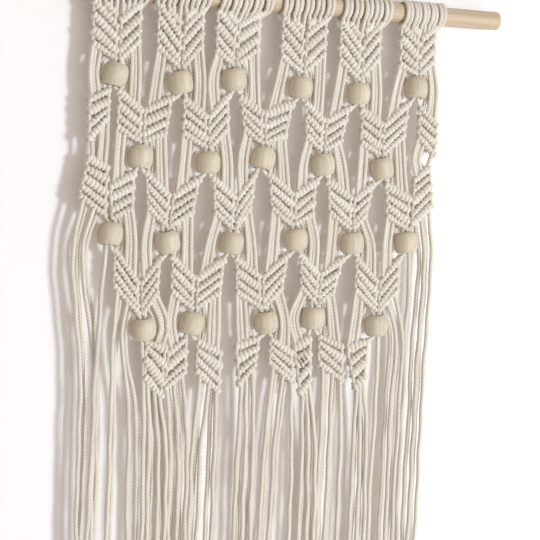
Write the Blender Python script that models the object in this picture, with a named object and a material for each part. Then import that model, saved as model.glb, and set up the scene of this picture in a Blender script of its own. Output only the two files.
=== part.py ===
"""Macrame wall hanging on a wooden rod: cotton cord knotted in staggered rows of V's,
each V tipped with a wooden bead, and a long straight fringe.

Frame: X runs along the rod, +Y points to the wall and +Z up. The origin is on the rod's axis,
half-way along it. Sizes below are in millimetres and MM turns them into metres.
"""

import math
import random
from collections import namedtuple

import bmesh
import bpy
from mathutils import Matrix, Vector

MM = 0.001

# ---- driving sizes ----
CORD = 3.3                 # three-ply cotton rope, as it lies
STRAND = 2.92              # side of the square strand with the rope's cross-section
LOOSE_WIDTH = 3.8          # the three-sided strand inside the panel
LOOSE_DEPTH = 3.3
COLUMN = 51.6              # one group of five cords along the rod
GROUPS = 6
ROD_DIAMETER = 15.0
ROD_LENGTH = 411.0
ROD_CHAMFER = 1.2
ROD_SIDES = 24
GAP = 0.3                  # between two pieces

BEAD_RADIUS = 10.0
BEAD_HALF = 8.5            # half the bead's length along its hole
BEAD_HOLE = 4.5            # radius of the hole
BEAD_MOUTH = 6.4           # radius of the flat round its mouth
BEAD_EASE = 0.4            # depth of the mouth's worn edge
BEAD_SHOULDER = (5.0, 9.0) # height and radius half-way down the barrel
BEAD_SIDES = 14
BEAD_Y = -4.0

# Depths of the knotted panel, front to back.
CREST_Y = -7.6             # along the middle of a bar
VALLEY_Y = -6.3            # between two bars
BACK_Y = 0.9
FRONT_Y = -4.4             # every second strand hangs here
REAR_Y = -1.0              # and the others here

HEM_Z = -640.0             # where the fringe is cut
HEM_UNEVEN = 4.0
SEED = 7                   # of the hem's unevenness
HANG_Z = -394.0            # height at which HANGS gives the strands' places

# ---- beads ----
BEADS_X = -1.9             # the lattice of beads lies this far beside the rod's middle
ROW_Z = (-64.0, -125.0, -187.0, -252.0)
# Each bead's shift from its lattice place, its tilt in the panel's plane (clockwise from
# the front) and its lean towards the viewer, in millimetres and degrees.
Shift = namedtuple("Shift", "x z tilt lean")
BEAD_ROWS = (
    (Shift(1, 0, 11, 0), Shift(2, -3, -14, 3), Shift(-5, 2, -12, 0),
     Shift(1, -1, 0, 0), Shift(1, -3, -2, 0), Shift(2, 4, 2, 9)),
    (Shift(-2, 0, 3, 6), Shift(2, -2, 0, 0), Shift(-3, 3, 12, 5),
     Shift(-2, 0, -8, 3), Shift(0, -1, -13, 0)),
    (Shift(2, 3, 8, 7), Shift(-3, -2, -14, -3), Shift(-1, -2, 6, 0),
     Shift(3, 2, -6, 0), Shift(2, 0, -6, 0), Shift(0, 1, -5, 5)),
    (Shift(6, -4, -9, -7), Shift(-6, 0, 10, 0), Shift(6, 1, -12, -3),
     Shift(-4, 4, 2, 0), Shift(2, -2, -4, 0)),
)
WIDENING_ROW = 1           # the row below this one has a V more, the others one less
# The pair of cords through each bead, as one block: its half width at each height.
Waist = namedtuple("Waist", "half z")
CORE = (Waist(4.0, 15.5), Waist(2.9, BEAD_HALF + BEAD_EASE), Waist(2.9, -BEAD_HALF - BEAD_EASE))
CORE_DEPTH = 1.5           # half of it
CORE_FOOT_Z = -14.5        # where it ends in the arms below
CORE_FOOT_REACH = 2.6      # and how far it runs into them sideways

# ---- arms: slanting bands of four or five bars, from an outer side down to a tip ----
# Where the borders between bars lie down an arm's outer and inner side.
Borders = namedtuple("Borders", "outer inner")
OVER_BEAD = Borders((0.0, 0.25, 0.49, 0.73, 1.0), (0.0, 0.3, 0.62, 0.92, 1.0))
FROM_ROD = Borders((0.0, 0.19, 0.46, 0.735, 1.0), (0.0, 0.3, 0.62, 0.92, 1.0))
FOUR = Borders((0.0, 0.25, 0.5, 0.75, 1.0), (0.0, 0.25, 0.5, 0.75, 1.0))
LEFT_TURN = Borders((0.0, 0.26, 0.54, 0.78, 1.0), (0.0, 0.19, 0.44, 0.72, 1.0))
FIVE = Borders((0.0, 0.2, 0.4, 0.6, 0.8, 1.0), (0.0, 0.2, 0.4, 0.6, 0.8, 1.0))
APART = 1.8                # half the way between the two arms of a V, at its middle
TIP_PULL = 0.5             # share of its way to the bead below that a V's tip has gone sideways
TOP_BESIDE = 5.0           # how far from the bead above an arm's first bar starts,
TOP_PULL = 0.7             # share of its way there from the outer side further down
FOOT_OUT = 0.3             # and share of it that the foot stands out
OUTER_DROP = (10.2, 42.6)  # top and foot of the outer side, below the bead above
INNER_RISE = (39.4, 10.7)  # top and tip of the inner side, above the bead below
# An arm that hangs from the rod: the two heights of its outer side, and those of its inner side
# above the bead below.
Hung = namedtuple("Hung", "top foot inner tip")
HUNG_LEFT = Hung(-8.2, -45.5, 40.0, 10.7)
HUNG_RIGHT = Hung(-8.2, -41.0, 46.0, 10.7)

# The outer sides and the middle of each V, row by row. None: one of the edge arms below.
V = namedtuple("V", "left middle right")
VS = (
    (V(-148.3, -128.0, -111.5), V(-96.3, -76.2, -60.3), V(-48.0, -30.9, -13.3),
     V(7.6, 27.3, 44.9), V(58.8, 78.5, 93.8), V(113.5, 131.4, 144.7)),
    (V(-126.3, -106.3, -86.8), V(-72.8, -53.3, -36.0), V(-22.3, -6.1, 14.4),
     V(32.2, 48.0, 63.7), V(81.2, 100.4, 120.7)),
    (V(None, -131.6, -111.8), V(-99.3, -80.3, -61.8), V(-43.8, -26.5, -13.3),
     V(4.7, 23.2, 41.2), V(55.7, 76.2, 89.7), V(108.2, 130.5, None)),
    (V(-124.3, -103.8, -88.8), V(-77.0, -57.3, -36.3), V(-22.3, -1.8, 17.2),
     V(33.7, 50.4, 64.2), V(83.0, 103.9, 121.5)),
)

# The arms with no bead above or below: top and foot of the outer side, then top and tip
# of the inner side.
Corners = namedtuple("Corners", "top_x top_z foot_x foot_z inner_x inner_z tip_x tip_z borders")
LEFT_EDGE = (
    Corners(-134, -72, -134, -99, -149, -80.5, -148, -118, LEFT_TURN),
    Corners(-147.5, -123, -154.5, -158, -133.4, -131, -133.4, -173, FIVE),
)
RIGHT_EDGE = (
    Corners(134, -72, 134, -102.5, 150.5, -85.5, 150, -117, FOUR),
    Corners(145.5, -119, 150.5, -159, 132.3, -131, 132.3, -175, FIVE),
)
LAST_ROW = (
    (Corners(-96, -265, -96, -300, -80, -266, -82, -312,
             Borders((0.0, 0.08, 0.27, 0.6, 1.0), (0.0, 0.24, 0.55, 0.85, 1.0))),
     Corners(-63, -261, -63, -292, -77, -270, -79.5, -305,
             Borders((0.0, 0.23, 0.6, 0.85, 1.0), (0.0, 0.33, 0.66, 0.85, 1.0)))),
    (Corners(-53.5, -262, -53.5, -294, -34, -272, -34, -309,
             Borders((0.0, 0.23, 0.44, 0.7, 1.0), (0.0, 0.27, 0.55, 0.84, 1.0))),
     Corners(-1, -261, -4, -288, -21, -266, -16, -304, FOUR)),
    (Corners(9, -262, 9, -286, 27, -271, 31, -301,
             Borders((0.0, 0.3, 0.52, 0.76, 1.0), (0.0, 0.35, 0.66, 0.87, 1.0))),
     Corners(44, -259, 46, -301, 29.5, -267, 39, -314, FOUR)),
    (Corners(52, -260, 53, -289, 73, -268, 75, -300,
             Borders((0.0, 0.15, 0.38, 0.67, 1.0), (0.0, 0.27, 0.62, 0.88, 1.0))),
     Corners(96.5, -264, 95, -302, 76.5, -267, 88, -309,
             Borders((0.0, 0.12, 0.37, 0.62, 1.0), (0.0, 0.34, 0.55, 0.74, 1.0)))),
)

# ---- loose strands beside the beads ----
# leave: where it leaves the arm above, from the arm's outer side (0) to its tip (1).
# left, right: how far from the bead's axis it passes on that side. join: where it joins the
# arm below.
Loose = namedtuple("Loose", "leave left right join y")
LOOSE = (
    Loose(0.16, 24.5, 20.8, 0.84, FRONT_Y),
    Loose(0.36, 19.6, 17.4, 0.60, REAR_Y),
    Loose(0.57, 14.6, 13.9, 0.36, FRONT_Y),
)
HANG_LEAVES = (0.16, 0.36, 0.57, 0.78)   # where the fringe leaves an arm's foot
TIP_LEAVE = 0.9                          # and its filler cord
EDGE_LEAVE = 0.86          # the filler cords where an edge arm turns back, above
EDGE_JOIN = 0.16           # and below
INSIDE = 2.8               # how far a strand's end runs into a knot

# ---- fringe: four strands from each arm that ends, named from its outer side (a to d) ----
# and its filler cord (tip), as x at HANG_Z. front is how far the filler hangs before them.
# Where the arm ends at a bead, its strands pass this far beside it, times spread.
PASSING = (24.0, 20.3, 16.6, 12.9)
Hang = namedtuple("Hang", "a b c d tip front spread")
HANGS = (
    Hang(-147.0, -143.4, -135.6, -131.6, -139.5, 5, 1.15),
    Hang(-122.4, -118.6, -106.4, -98.2, -94.2, 0, 1.0),
    Hang(-89.5, -85.6, -81.8, -78.2, -75.0, 0, 0),
    Hang(-57.8, -61.4, -65.0, -68.4, -71.8, 0, 0),
    Hang(-54.4, -50.9, -47.4, -38.8, -35.2, 0, 0),
    Hang(-1.8, -5.2, -8.6, -12.0, -15.6, 0, 0),
    Hang(7.0, 10.8, 15.6, 19.6, 32.4, 0, 0),
    Hang(54.4, 51.2, 48.0, 44.6, 41.2, 0, 0),
    Hang(57.8, 61.4, 65.4, 69.0, 76.2, 0, 0),
    Hang(100.8, 97.6, 94.4, 91.2, 87.8, 0, 0),
    Hang(128.2, 124.8, 121.4, 117.8, 105.7, 0, 1.0),
    Hang(150.2, 146.8, 143.4, 140.0, 132.2, 0, 1.0),
)
SETTLED = 0.75             # share of its way sideways that a strand has gone
SETTLED_DROP = 0.45        # at this share of its way down to HANG_Z

# ---- cords looped over the rod, a ridge for each pair of turns ----
Sleeve = namedtuple("Sleeve", "shift width")
SLEEVES = (Sleeve(1, 45), Sleeve(0, 45), Sleeve(1, 44),
           Sleeve(2, 45), Sleeve(3, 44), Sleeve(4, 38))
SLEEVE_PAIRS = 5
SLEEVE_SIDES = 8
SLEEVE_VALLEY = 1.1        # depth between two ridges
NECK_PLACES = (0.2, 0.7)   # strands between rod and first bar, from outer side to tip
NECK_Z = -8.6


# ---------------------------------------------------------------- layout

Bead = namedtuple("Bead", "x z tilt lean")
LAST_GROUP = GROUPS - 1


def group_middle(group):
    """Middle of a group of cords along the rod."""
    return COLUMN * (group - LAST_GROUP / 2)


def place_beads():
    """The four rows of beads, each from left to right."""
    rows = []
    for row, shifts in enumerate(BEAD_ROWS):
        first = BEADS_X - COLUMN * (len(shifts) - 1) / 2
        rows.append([Bead(first + COLUMN * i + s.x, ROW_Z[row] + s.z, s.tilt, s.lean)
                     for i, s in enumerate(shifts)])
    return rows


def arm_of(v, side, above, below):
    """Corners of a V's left (side -1) or right arm (1), from the bead above, or from the rod if
    there is none, down to the bead below."""
    outer_x = top_x = v.left if side < 0 else v.right
    hung = HUNG_LEFT if side < 0 else HUNG_RIGHT
    levels, rise, borders = hung[:2], hung[2:], FROM_ROD
    if above:
        top_x = outer_x + TOP_PULL * (above.x - side * TOP_BESIDE - outer_x)
        levels = [above.z - drop for drop in OUTER_DROP]
        rise, borders = INNER_RISE, OVER_BEAD
    foot_x = outer_x + FOOT_OUT * (outer_x - top_x)
    bead_top = below.x + BEAD_HALF * math.sin(math.radians(below.tilt))
    tip = v.middle + TIP_PULL * (bead_top - v.middle)
    return Corners(top_x, levels[0], foot_x, levels[1], v.middle + side * APART, below.z + rise[0],
                   tip + side * APART, below.z + rise[1], borders)


def lay_out(beads):
    """All arms by (row, V, side), side being -1 for the V's left arm and 1 for its right."""
    arms = {}
    for row, (vs, knots) in enumerate(zip(VS, beads)):
        for i, (v, bead) in enumerate(zip(vs, knots)):
            for side in (-1, 1):
                number = i + (side > 0) - (row == WIDENING_ROW + 1)
                if row == 0:
                    arms[row, i, side] = arm_of(v, side, None, bead)
                elif 0 <= number < len(beads[row - 1]):
                    arms[row, i, side] = arm_of(v, side, beads[row - 1][number], bead)
    arms[1, -1, 1], arms[2, 0, -1] = LEFT_EDGE
    arms[1, LAST_GROUP, -1], arms[2, LAST_GROUP, 1] = RIGHT_EDGE
    for i, (left, right) in enumerate(LAST_ROW):
        arms[4, i, -1] = left
        arms[4, i, 1] = right
    return arms


def arm_below(arms, row, index, side):
    """The arm that starts beside a bead and runs down to the given side, if there is one."""
    right_v = index + 1 if row == WIDENING_ROW else index
    return arms.get((row + 1, right_v - (side < 0), -side))


def top_of(arm, t):
    """A point on the arm's top edge, t of the way from its outer side to its inner side."""
    return Vector((arm.top_x, 0, arm.top_z)).lerp(Vector((arm.inner_x, 0, arm.inner_z)), t)


def foot_of(arm, t):
    """A point on the arm's bottom edge, from its outer side to its tip."""
    return Vector((arm.foot_x, 0, arm.foot_z)).lerp(Vector((arm.tip_x, 0, arm.tip_z)), t)


def into_top(arm, t, y):
    """The end of a strand that runs into the arm's top edge."""
    return top_of(arm, t) + Vector((0, y, -INSIDE))


def out_of_foot(arm, t, y):
    """The start of a strand that leaves the arm's bottom edge."""
    return foot_of(arm, t) + Vector((0, y, INSIDE))


def bead_turn(bead):
    """The bead's rotation: its hole along Z, tilted in the panel and leaned to the viewer."""
    tilt = Matrix.Rotation(math.radians(bead.tilt), 3, "Y")
    return tilt @ Matrix.Rotation(math.radians(-bead.lean), 3, "X")


def edge_turns(arms):
    """Where the edge arms turn back with no bead: upper arm, lower arm and the open side."""
    return ((arms[1, -1, 1], arms[2, 0, -1], 1), (arms[1, LAST_GROUP, -1], arms[2, LAST_GROUP, 1], -1))


def loose_strands(arms, beads):
    """Routes of the strands that pass beside the beads, from the arm above to the arm below."""
    places = [(arms[row, i, side], arm_below(arms, row, i, side), bead.x, bead.z, side)
              for row, knots in enumerate(beads) for i, bead in enumerate(knots) for side in (-1, 1)]
    places += [(upper, lower, upper.tip_x, upper.tip_z, side) for upper, lower, side in edge_turns(arms)]
    routes = []
    for upper, lower, x, z, side in places:
        if lower:
            for strand in LOOSE:
                aside = strand.left if side < 0 else strand.right
                passing = Vector((x + side * aside, strand.y, z))
                routes.append([out_of_foot(upper, strand.leave, strand.y), passing,
                               into_top(lower, strand.join, strand.y)])
    return routes


def edge_fillers(arms):
    """The short filler cords where the edge arms turn back."""
    return [[out_of_foot(upper, EDGE_LEAVE, FRONT_Y), into_top(lower, EDGE_JOIN, FRONT_Y)]
            for upper, lower, side in edge_turns(arms)]


def neck_strands(arms):
    """Short strands between the loops on the rod and the first bars."""
    routes = []
    for group in range(GROUPS):
        for side in (-1, 1):
            for t in NECK_PLACES:
                end = into_top(arms[0, group, side], t, FRONT_Y)
                routes.append([Vector((end.x, FRONT_Y, NECK_Z)), end])
    return routes


def fringe_strands(arms, beads, chance):
    """Routes of the sixty strands that hang free, five from each arm that ends."""
    ends = [(arms[2, 0, -1], beads[2][0], -1), (arms[3, 0, -1], beads[3][0], -1)]
    for i in range(len(LAST_ROW)):
        ends += [(arms[4, i, -1], None, -1), (arms[4, i, 1], None, 1)]
    ends += [(arms[3, LAST_GROUP - 1, 1], beads[3][-1], 1), (arms[2, LAST_GROUP, 1], beads[2][-1], 1)]
    routes = []
    for (arm, bead, side), hang in zip(ends, HANGS):
        for number, (t, x, aside) in enumerate(zip(HANG_LEAVES, hang, PASSING)):
            y = REAR_Y if number % 2 else FRONT_Y
            start = [out_of_foot(arm, t, y)]
            if bead:
                start.append(Vector((bead.x + side * hang.spread * aside, y, bead.z)))
            routes.append(hanging(start, x, y, chance))
        start = filler_through(bead, side) if bead else [out_of_foot(arm, TIP_LEAVE, FRONT_Y)]
        routes.append(hanging(start, hang.tip, FRONT_Y - hang.front, chance))
    return routes


def filler_through(bead, side):
    """The start of a filler cord that runs through a bead and hangs free below it."""
    aside = side * (STRAND / 2 + GAP / 2)
    centre = Vector((bead.x, BEAD_Y, bead.z))
    return [centre + bead_turn(bead) @ Vector((aside, 0, waist.z)) for waist in CORE]


def hanging(start, x, y, chance):
    """A route on from its first points, down by way of (x, y) at HANG_Z to the hem."""
    last = start[-1]
    knee = Vector((last.x + SETTLED * (x - last.x), y, last.z + SETTLED_DROP * (HANG_Z - last.z)))
    hem = HEM_Z + chance.uniform(-HEM_UNEVEN, HEM_UNEVEN)
    return start + [knee, Vector((x, y, HANG_Z)), Vector((x, y, hem))]


# ---------------------------------------------------------------- meshes

SQUARE = [(x * STRAND / 2, y * STRAND / 2) for x, y in ((-1, -1), (1, -1), (1, 1), (-1, 1))]
TRIANGLE = [(x * LOOSE_WIDTH / 2, y * LOOSE_DEPTH / 2) for x, y in ((0, -1), (1, 1), (-1, 1))]


def add_solid(mesh, rings):
    """A closed solid through a row of equal rings of points in millimetres."""
    rings = [[mesh.verts.new(point * MM) for point in ring] for ring in rings]
    bridge_rings(mesh, rings, closed=False)
    mesh.faces.new(rings[0])
    mesh.faces.new(list(reversed(rings[-1])))


def add_strand(mesh, route, outline):
    """A strand along a route, its cross-sections level."""
    add_solid(mesh, [[point + Vector((x, y, 0)) for x, y in outline] for point in route])


def add_core(mesh, bead, left, right):
    """The pair of cords through a bead, spread to the arms that start left and right below."""
    turn = bead_turn(bead)
    centre = Vector((bead.x, BEAD_Y, bead.z))
    rings = []
    for waist in CORE:
        low = -waist.half if left else GAP / 2
        high = waist.half if right else -GAP / 2
        ring = core_ring(low, high, waist.z)
        rings.append([centre + (point if waist is CORE[0] else turn @ point) for point in ring])
    low = left.top_x - CORE_FOOT_REACH - bead.x if left else GAP / 2
    high = right.top_x + CORE_FOOT_REACH - bead.x if right else -GAP / 2
    rings.append([centre + point for point in core_ring(low, high, CORE_FOOT_Z)])
    add_solid(mesh, rings)


def core_ring(low, high, z):
    """Four points of the core at a height, between two distances beside the bead's axis."""
    corners = ((low, -CORE_DEPTH), (high, -CORE_DEPTH), (high, CORE_DEPTH), (low, CORE_DEPTH))
    return [Vector((x, y, z)) for x, y in corners]


def add_arm(mesh, arm):
    """The arm as a slab whose front rises to a crest along each bar."""
    rings = []
    for t, borders in enumerate(arm.borders):
        top, foot = top_of(arm, t), foot_of(arm, t)
        ring = [top + Vector((0, VALLEY_Y, 0))]
        for upper, lower in zip(borders, borders[1:]):
            ring.append(top.lerp(foot, (upper + lower) / 2) + Vector((0, CREST_Y, 0)))
            ring.append(top.lerp(foot, lower) + Vector((0, VALLEY_Y, 0)))
        rings.append(ring + [foot + Vector((0, BACK_Y, 0)), top + Vector((0, BACK_Y, 0))])
    add_solid(mesh, rings)


def bridge_rings(mesh, rings, closed):
    """Quads between neighbouring rings, and from the last to the first if closed."""
    pairs = list(zip(rings, rings[1:])) + ([(rings[-1], rings[0])] if closed else [])
    for upper, lower in pairs:
        for i, corner in enumerate(upper):
            j = (i + 1) % len(upper)
            mesh.faces.new((corner, lower[i], lower[j], upper[j]))


def add_sleeve(mesh, middle, width):
    """The turns of one group of cords round the rod, as a ridged ring about it."""
    inner = (ROD_DIAMETER / 2 + GAP) / math.cos(math.pi / SLEEVE_SIDES)
    crest = inner + CORD - GAP
    low = crest - SLEEVE_VALLEY
    count = 2 * SLEEVE_PAIRS
    profile = [(-width / 2 + width * i / count, crest if i % 2 else low) for i in range(count + 1)]
    profile += [(width / 2, inner), (-width / 2, inner)]
    add_lathe(mesh, profile, SLEEVE_SIDES, "X", Vector((middle, 0, 0)), math.pi / SLEEVE_SIDES)


def add_lathe(mesh, profile, sides, axis, centre=Vector(), turn=0.0):
    """A closed profile of (along, radius) points turned about the X or Z axis."""
    rings = []
    for i in range(sides):
        angle = turn + 2 * math.pi * i / sides
        ring = []
        for along, radius in profile:
            u, v = radius * math.cos(angle), radius * math.sin(angle)
            place = Vector((along, u, v)) if axis == "X" else Vector((u, v, along))
            ring.append(mesh.verts.new((centre + place) * MM))
        rings.append(ring)
    bridge_rings(mesh, rings, closed=True)


def object_from(mesh, name, look):
    """Turns a bmesh into a named object with its faces pointing out."""
    bmesh.ops.recalc_face_normals(mesh, faces=mesh.faces)
    data = bpy.data.meshes.new(name)
    mesh.to_mesh(data)
    mesh.free()
    data.materials.append(look)
    made = bpy.data.objects.new(name, data)
    bpy.context.scene.collection.objects.link(made)
    return made


def material(name, colour, roughness):
    """A plain material of its own for each kind of piece."""
    made = bpy.data.materials.new(name)
    made.use_nodes = True
    shader = made.node_tree.nodes["Principled BSDF"]
    shader.inputs["Base Color"].default_value = (*colour, 1)
    shader.inputs["Roughness"].default_value = roughness
    return made


# ---------------------------------------------------------------- pieces

def make_rod(wood):
    """A plain dowel with a small chamfer at each end."""
    radius, half = ROD_DIAMETER / 2, ROD_LENGTH / 2
    outline = [(-half, radius - ROD_CHAMFER), (-half + ROD_CHAMFER, radius),
               (half - ROD_CHAMFER, radius), (half, radius - ROD_CHAMFER)]
    angles = [2 * math.pi * i / ROD_SIDES for i in range(ROD_SIDES)]
    mesh = bmesh.new()
    add_solid(mesh, [[Vector((along, r * math.cos(a), r * math.sin(a))) for a in angles]
                     for along, r in outline])
    rod = object_from(mesh, "rod", wood)
    rod.data.shade_smooth()
    rod.data.set_sharp_from_angle(angle=math.radians(30))


def make_beads(beads, wood):
    """Barrel beads on one shared mesh, each placed and tilted by its object."""
    shoulder_z, shoulder = BEAD_SHOULDER
    upper = [(BEAD_HALF - BEAD_EASE, BEAD_HOLE), (BEAD_HALF, BEAD_MOUTH), (shoulder_z, shoulder)]
    lower = [(-z, radius) for z, radius in reversed(upper)]
    mesh = bmesh.new()
    add_lathe(mesh, upper + [(0.0, BEAD_RADIUS)] + lower, BEAD_SIDES, "Z")
    first = object_from(mesh, "bead", wood)
    first.data.shade_smooth()
    first.data.set_sharp_from_angle(angle=math.radians(50))
    for row, knots in enumerate(beads, 1):
        for number, bead in enumerate(knots, 1):
            made = bpy.data.objects.new(f"bead_{row}_{number}", first.data)
            bpy.context.scene.collection.objects.link(made)
            made.location = Vector((bead.x, BEAD_Y, bead.z)) * MM
            made.rotation_mode = "QUATERNION"
            made.rotation_quaternion = bead_turn(bead).to_quaternion()
    bpy.data.objects.remove(first)


def make_macrame(beads, cotton):
    """All the cord as one body: the turns on the rod, the knotted arms and every strand."""
    arms = lay_out(beads)
    chance = random.Random(SEED)
    knots = bmesh.new()
    for arm in arms.values():
        add_arm(knots, arm)
    for group, sleeve in enumerate(SLEEVES):
        add_sleeve(knots, group_middle(group) + sleeve.shift, sleeve.width)
    macrame = object_from(knots, "macrame", cotton)
    strands = bmesh.new()
    for row, knots_in_row in enumerate(beads):
        for i, bead in enumerate(knots_in_row):
            left, right = (arm_below(arms, row, i, side) for side in (-1, 1))
            add_core(strands, bead, left, right)
    for route in loose_strands(arms, beads) + edge_fillers(arms) + neck_strands(arms):
        add_strand(strands, route, TRIANGLE)
    for route in fringe_strands(arms, beads, chance):
        add_strand(strands, route, SQUARE)
    helper = object_from(strands, "strands", cotton)
    helper.hide_render = True
    helper.display_type = "WIRE"
    union = macrame.modifiers.new("strands", "BOOLEAN")
    union.operation = "UNION"
    union.object = helper
    union.use_self = True
    flat = macrame.modifiers.new("flat faces", "DECIMATE")
    flat.decimate_type = "DISSOLVE"
    flat.angle_limit = math.radians(0.2)


def main():
    for old in list(bpy.data.objects):
        bpy.data.objects.remove(old)
    pine = material("pale_wood", (0.78, 0.62, 0.45), 0.55)
    beech = material("bead_wood", (0.74, 0.63, 0.47), 0.5)
    cotton = material("cotton_cord", (0.86, 0.81, 0.72), 0.95)
    beads = place_beads()
    make_rod(pine)
    make_beads(beads, beech)
    make_macrame(beads, cotton)


main()
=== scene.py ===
"""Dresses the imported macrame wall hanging: three-ply cotton rope wound and hung as the solids
lie, turned beads and a wooden rod, before a pale wall, with a floor, soft light and a camera.

Frame: X runs along the rod, +Y points to the wall and +Z up. The origin is on the rod's axis,
half-way along it. Sizes are in millimetres and MM turns them into metres.
"""

import math
import random
from collections import namedtuple

import bpy
import numpy as np
from mathutils import Matrix, Vector


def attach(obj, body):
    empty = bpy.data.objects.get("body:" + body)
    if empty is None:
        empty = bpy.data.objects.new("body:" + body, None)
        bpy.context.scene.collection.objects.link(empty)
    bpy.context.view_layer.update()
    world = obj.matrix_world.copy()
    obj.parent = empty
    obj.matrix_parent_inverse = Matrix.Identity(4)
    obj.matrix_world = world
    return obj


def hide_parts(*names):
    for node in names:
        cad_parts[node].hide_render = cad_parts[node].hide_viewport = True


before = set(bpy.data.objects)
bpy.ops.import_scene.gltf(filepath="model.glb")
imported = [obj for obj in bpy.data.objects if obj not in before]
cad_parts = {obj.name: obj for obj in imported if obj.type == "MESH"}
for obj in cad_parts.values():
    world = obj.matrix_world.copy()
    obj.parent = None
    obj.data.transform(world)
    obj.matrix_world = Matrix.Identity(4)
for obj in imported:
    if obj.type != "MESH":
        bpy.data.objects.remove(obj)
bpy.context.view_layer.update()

MM = 0.001

# ---- the solids' sizes ----
COLUMN = 51.6              # one group of five cords along the rod
GROUPS = 6
ROD_RADIUS = 7.5
ROD_LENGTH = 411.0
BEAD_RADIUS = 10.0
BEAD_HALF = 8.5            # half the bead's length along its hole
BEAD_HOLE = 4.5            # radius of the hole
BEAD_EASE = 0.4            # depth of its mouth's worn edge
BEAD_Y = -4.0
FRONT_Y = -4.4             # every second strand hangs here
REAR_Y = -1.0              # and the others here
HEM_Z = -640.0             # where the fringe is cut
HEM_UNEVEN = 4.0
SEED = 7                   # of the hem's unevenness
HANG_Z = -394.0            # height at which HANGS gives the strands' places

# ---- beads ----
BEADS_X = -1.9             # the lattice of beads lies this far beside the rod's middle
ROW_Z = (-64.0, -125.0, -187.0, -252.0)
# Each bead's shift from its lattice place, its tilt in the panel's plane (clockwise from
# the front) and its lean towards the viewer, in millimetres and degrees.
Shift = namedtuple("Shift", "x z tilt lean")
BEAD_ROWS = (
    (Shift(1, 0, 11, 0), Shift(2, -3, -14, 3), Shift(-5, 2, -12, 0),
     Shift(1, -1, 0, 0), Shift(1, -3, -2, 0), Shift(2, 4, 2, 9)),
    (Shift(-2, 0, 3, 6), Shift(2, -2, 0, 0), Shift(-3, 3, 12, 5),
     Shift(-2, 0, -8, 3), Shift(0, -1, -13, 0)),
    (Shift(2, 3, 8, 7), Shift(-3, -2, -14, -3), Shift(-1, -2, 6, 0),
     Shift(3, 2, -6, 0), Shift(2, 0, -6, 0), Shift(0, 1, -5, 5)),
    (Shift(6, -4, -9, -7), Shift(-6, 0, 10, 0), Shift(6, 1, -12, -3),
     Shift(-4, 4, 2, 0), Shift(2, -2, -4, 0)),
)
WIDENING_ROW = 1           # the row below this one has a V more, the others one less
BARREL_ROUNDNESS = 2.7     # of a bead's side: 2 would be an ellipse
BARREL_HALF = 10.1         # half the length of that rounded form, which the mouths cut off
BARREL_RINGS = 19
BEAD_SIDES = 48
# The worn edge round the mouth: depth below the bead's end and distance from the hole.
MOUTH = ((BEAD_EASE, 0.0), (0.08, 0.5), (0.0, 1.1))
BEAD_SEED = 21
GRAIN_OFFSETS = 900        # two beads' grain lies up to so far apart in the noise

# ---- rod ----
# Its worn end: distance from the end and depth below the rod's surface.
ROD_END = ((0.0, ROD_RADIUS - 0.02), (0.0, 1.2), (0.25, 0.55), (0.65, 0.18), (1.3, 0.0))
ROD_SIDES = 64
ROD_RINGS = 40             # of the plain part between the ends,
ROD_PLAIN = 8.0            # which starts this far from them

# ---- arms: slanting bands of four or five bars, from an outer side down to a tip ----
# Where the borders between bars lie down an arm's outer and inner side.
Borders = namedtuple("Borders", "outer inner")
OVER_BEAD = Borders((-0.06, 0.25, 0.49, 0.73, 1.0), (0.0, 0.3, 0.62, 0.92, 1.0))
FROM_ROD = Borders((-0.06, 0.19, 0.46, 0.735, 1.0), (0.0, 0.3, 0.62, 0.92, 1.0))
FOUR = Borders((0.0, 0.25, 0.5, 0.75, 1.0), (0.0, 0.25, 0.5, 0.75, 1.0))
LEFT_TURN = Borders((0.0, 0.26, 0.54, 0.78, 1.0), (0.0, 0.19, 0.44, 0.72, 1.0))
FIVE = Borders((0.0, 0.2, 0.4, 0.6, 0.8, 1.0), (0.0, 0.2, 0.4, 0.6, 0.8, 1.0))
APART = 1.8                # half the way between the two arms of a V, at its middle
TIP_PULL = 0.5             # share of its way to the bead below that a V's tip has gone sideways
TOP_BESIDE = 5.0           # how far from the bead above an arm's first bar starts,
TOP_PULL = 0.7             # share of its way there from the outer side further down
FOOT_OUT = 0.3             # and share of it that the foot stands out
OUTER_DROP = (10.2, 42.6)  # top and foot of the outer side, below the bead above
INNER_RISE = (39.4, 10.7)  # top and tip of the inner side, above the bead below
# An arm that hangs from the rod: the two heights of its outer side, and those of its inner side
# above the bead below.
Hung = namedtuple("Hung", "top foot inner tip")
HUNG_LEFT = Hung(-8.2, -45.5, 40.0, 10.7)
HUNG_RIGHT = Hung(-8.2, -41.0, 46.0, 10.7)

# The outer sides and the middle of each V, row by row. None: one of the edge arms below.
V = namedtuple("V", "left middle right")
VS = (
    (V(-148.3, -128.0, -111.5), V(-96.3, -76.2, -60.3), V(-48.0, -30.9, -13.3),
     V(7.6, 27.3, 44.9), V(58.8, 78.5, 93.8), V(113.5, 131.4, 144.7)),
    (V(-126.3, -106.3, -86.8), V(-72.8, -53.3, -36.0), V(-22.3, -6.1, 14.4),
     V(32.2, 48.0, 63.7), V(81.2, 100.4, 120.7)),
    (V(None, -131.6, -111.8), V(-99.3, -80.3, -61.8), V(-43.8, -26.5, -13.3),
     V(4.7, 23.2, 41.2), V(55.7, 76.2, 89.7), V(108.2, 130.5, None)),
    (V(-124.3, -103.8, -88.8), V(-77.0, -57.3, -36.3), V(-22.3, -1.8, 17.2),
     V(33.7, 50.4, 64.2), V(83.0, 103.9, 121.5)),
)

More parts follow.
